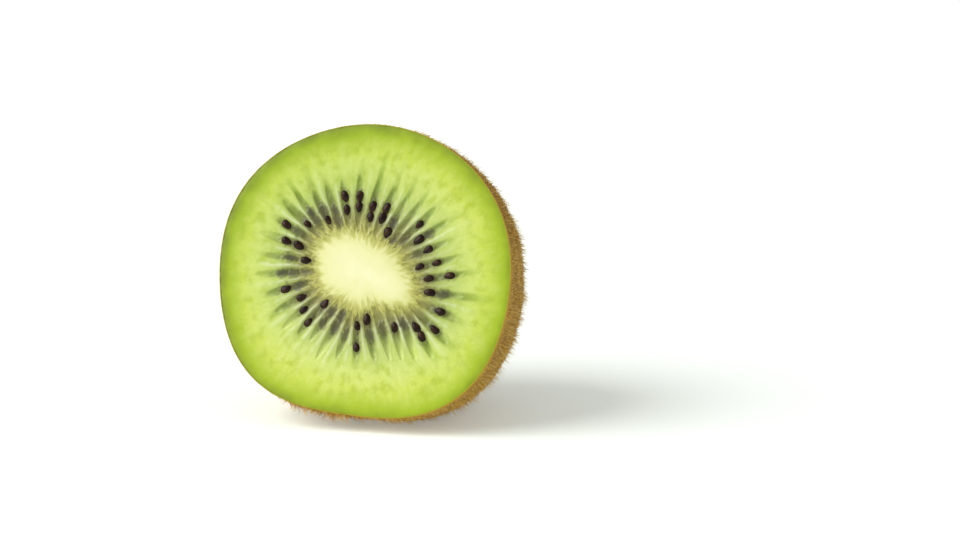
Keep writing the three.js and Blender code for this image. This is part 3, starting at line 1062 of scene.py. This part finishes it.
def hair_nodes(name, one, per_square_mm, seed, lie_down, astray):
    """Nodes that stand copies of one hair on the skin, laid over towards the stem and askew.
    The skin's values of the same name say where they stand thick."""
    tree = bpy.data.node_groups.new(name, "GeometryNodeTree")
    tree.interface.new_socket("Geometry", in_out="INPUT", socket_type="NodeSocketGeometry")
    tree.interface.new_socket("Geometry", in_out="OUTPUT", socket_type="NodeSocketGeometry")
    source = add_node(tree, "NodeGroupInput")
    hairy = add_node(tree, "GeometryNodeInputNamedAttribute", {"Name": name},
                     data_type="FLOAT")
    density = add_node(tree, "ShaderNodeMath", {0: hairy, 1: per_square_mm / MM ** 2},
                       operation="MULTIPLY")
    points = add_node(tree, "GeometryNodeDistributePointsOnFaces", {
        "Mesh": source, "Density": density, "Seed": seed})
    lean = add_node(tree, "FunctionNodeRandomValue", {
        "Min": (-astray, -astray, -astray), "Max": (astray, astray, astray), "Seed": seed + 1},
        data_type="FLOAT_VECTOR")
    laid = add_node(tree, "GeometryNodeInputNamedAttribute", {"Name": "lie_down"},
                    data_type="FLOAT")
    backwards = add_node(tree, "ShaderNodeVectorMath", {0: lie_down * INTO, "Scale": laid},
                         operation="SCALE")
    leaning = add_node(tree, "ShaderNodeVectorMath", {0: lean, 1: backwards}, operation="ADD")
    towards = add_node(tree, "ShaderNodeVectorMath", {
        0: leaning, 1: points.outputs["Normal"]}, operation="ADD")
    turn = add_node(tree, "FunctionNodeAlignRotationToVector", {"Vector": towards}, axis="Z")
    size = add_node(tree, "FunctionNodeRandomValue", {
        "Min": HAIR_SIZE[0], "Max": HAIR_SIZE[1], "Seed": seed + 2}, data_type="FLOAT")
    hair_source = add_node(tree, "GeometryNodeObjectInfo", {"Object": one})
    standing = add_node(tree, "GeometryNodeInstanceOnPoints", {
        "Points": points, "Instance": hair_source.outputs["Geometry"], "Rotation": turn,
        "Scale": size})
    shade = add_node(tree, "FunctionNodeRandomValue", {
        "Min": 0.0, "Max": 1.0, "Seed": seed + 3}, data_type="FLOAT")
    toned = add_node(tree, "GeometryNodeStoreNamedAttribute", {
        "Geometry": standing, "Name": "tone", "Value": shade},
        data_type="FLOAT", domain="INSTANCE")
    real = add_node(tree, "GeometryNodeRealizeInstances", {"Geometry": toned})
    add_node(tree, "NodeGroupOutput", {"Geometry": real})
    return tree


def scattered_hairs(name, skin, hair, **growth):
    """All the hairs of one kind on the skin as one mesh, none of them below the table."""
    one = bpy.data.objects.new(name + "_one", hair)
    tree = hair_nodes(name, one, **growth)
    carrier = in_scene(name + "_carrier", skin.data)
    carrier.modifiers.new("hairs", "NODES").node_group = tree
    graph = bpy.context.evaluated_depsgraph_get()
    mesh = bpy.data.meshes.new_from_object(carrier.evaluated_get(graph))
    bpy.data.objects.remove(carrier)
    bpy.data.objects.remove(one)
    bpy.data.node_groups.remove(tree)

    corners = corners_of(mesh)
    corners[:, 2] = np.maximum(corners[:, 2], 0)
    mesh.vertices.foreach_set("co", corners.astype(np.float32).ravel())
    return mesh


def make_hairs(material, skin):
    """The skin's hairs: short ones all over it and long ones in tufts, one piece for each."""
    short = hair_mesh("short_hair", SHORT_HAIR * MM, HAIR_HALF_WIDTH * MM, bend=0.0, joints=0)
    mesh = scattered_hairs("short_hairs", skin, short, per_square_mm=11, seed=SHORT_HAIR_DRAW,
                           lie_down=3.2, astray=1.2)
    add_piece("short_hairs", mesh, material, smooth_faces=False)
    long = hair_mesh("long_hair", LONG_HAIR * MM, HAIR_HALF_WIDTH * MM, bend=0.25, joints=1)
    mesh = scattered_hairs("long_hairs", skin, long, per_square_mm=5, seed=LONG_HAIR_DRAW,
                           lie_down=2.6, astray=1.1)
    add_piece("long_hairs", mesh, material, smooth_faces=False)


# ---------------------------------------------------------------- camera, light and floor

# The camera stands this far round to the right of the fruit's front and this high, and shows the
# middle of the cut at one pixel.
VIEW_SIDE = radians(14.57)
VIEW_HEIGHT = radians(11)
VIEW_DISTANCE = 453.1
LENS = 100
SENSOR = 36
IMAGE_WIDTH, IMAGE_HEIGHT = 960, 540
CUT_CENTRE_PIXEL = (363.3, 272.4)

# The window is a broad soft sun, low and to the left of the fruit's front.
WINDOW_SIDE = radians(-60)
WINDOW_HEIGHT = radians(35)
WINDOW_SOFTNESS = radians(55)
WINDOW_STRENGTH = 2.9
SKY_STRENGTH = 0.46
FLOOR_GLOW = 0.25
FLOOR_RADIUS = 6000


def direction(side, height):
    """The way from the fruit to what stands this far round from its front and this high."""
    return np.array((sin(side) * cos(height), -cos(side) * cos(height), sin(height)))


def make_camera():
    """A long lens a little to the right of the fruit and a little above it."""
    back = direction(VIEW_SIDE, VIEW_HEIGHT)
    right = np.array((cos(VIEW_SIDE), sin(VIEW_SIDE), 0))
    up = np.cross(back, right)
    mm_per_pixel = VIEW_DISTANCE * SENSOR / (IMAGE_WIDTH * LENS)
    aside = (CUT_CENTRE_PIXEL[0] - IMAGE_WIDTH / 2) * mm_per_pixel
    above = (IMAGE_HEIGHT / 2 - CUT_CENTRE_PIXEL[1]) * mm_per_pixel
    camera = in_scene("camera", bpy.data.cameras.new("camera"))
    camera.data.lens = LENS
    camera.data.sensor_width = SENSOR
    turned = Matrix((right, up, back)).transposed().to_4x4()
    position = CUT_CENTRE + MM * (back * VIEW_DISTANCE - right * aside - up * above)
    camera.matrix_world = Matrix.Translation(Vector(position)) @ turned
    bpy.context.scene.camera = camera


def make_window():
    """The one soft light, broad as a window."""
    window = in_scene("window", bpy.data.lights.new("window", "SUN"))
    window.data.angle = WINDOW_SOFTNESS
    window.data.energy = WINDOW_STRENGTH
    from_there = Vector(direction(WINDOW_SIDE, WINDOW_HEIGHT))
    window.rotation_euler = from_there.to_track_quat("Z", "Y").to_euler()


def make_stage():
    """A white room: a pale floor that glows a little, and an even white sky."""
    bm = bmesh.new()
    bmesh.ops.create_circle(bm, cap_ends=True, segments=96, radius=FLOOR_RADIUS * MM)
    floor = in_scene("floor", mesh_of(bm, "floor"))
    material, tree = new_material("white_floor")
    shader = add_node(tree, "ShaderNodeBsdfPrincipled", {
        "Base Color": "F2F8F0", "Roughness": 0.9, "Specular IOR Level": 0.0,
        "Emission Color": "F4FBFA", "Emission Strength": FLOOR_GLOW})
    add_node(tree, "ShaderNodeOutputMaterial", {"Surface": shader})
    floor.data.materials.append(material)

    world = bpy.data.worlds.new("white_sky")
    world.use_nodes = True
    sky = world.node_tree.nodes["Background"]
    sky.inputs["Color"].default_value = (1, 1, 1, 1)
    sky.inputs["Strength"].default_value = SKY_STRENGTH
    bpy.context.scene.world = world
    bpy.context.scene.view_settings.view_transform = "Standard"


make_flesh(flesh_material())
make_core(core_material())
skin_piece = make_skin(skin_material())
make_seeds(seed_material())
make_scar(scar_material())
make_hairs(hair_material(), skin_piece)
make_camera()
make_window()
make_stage()
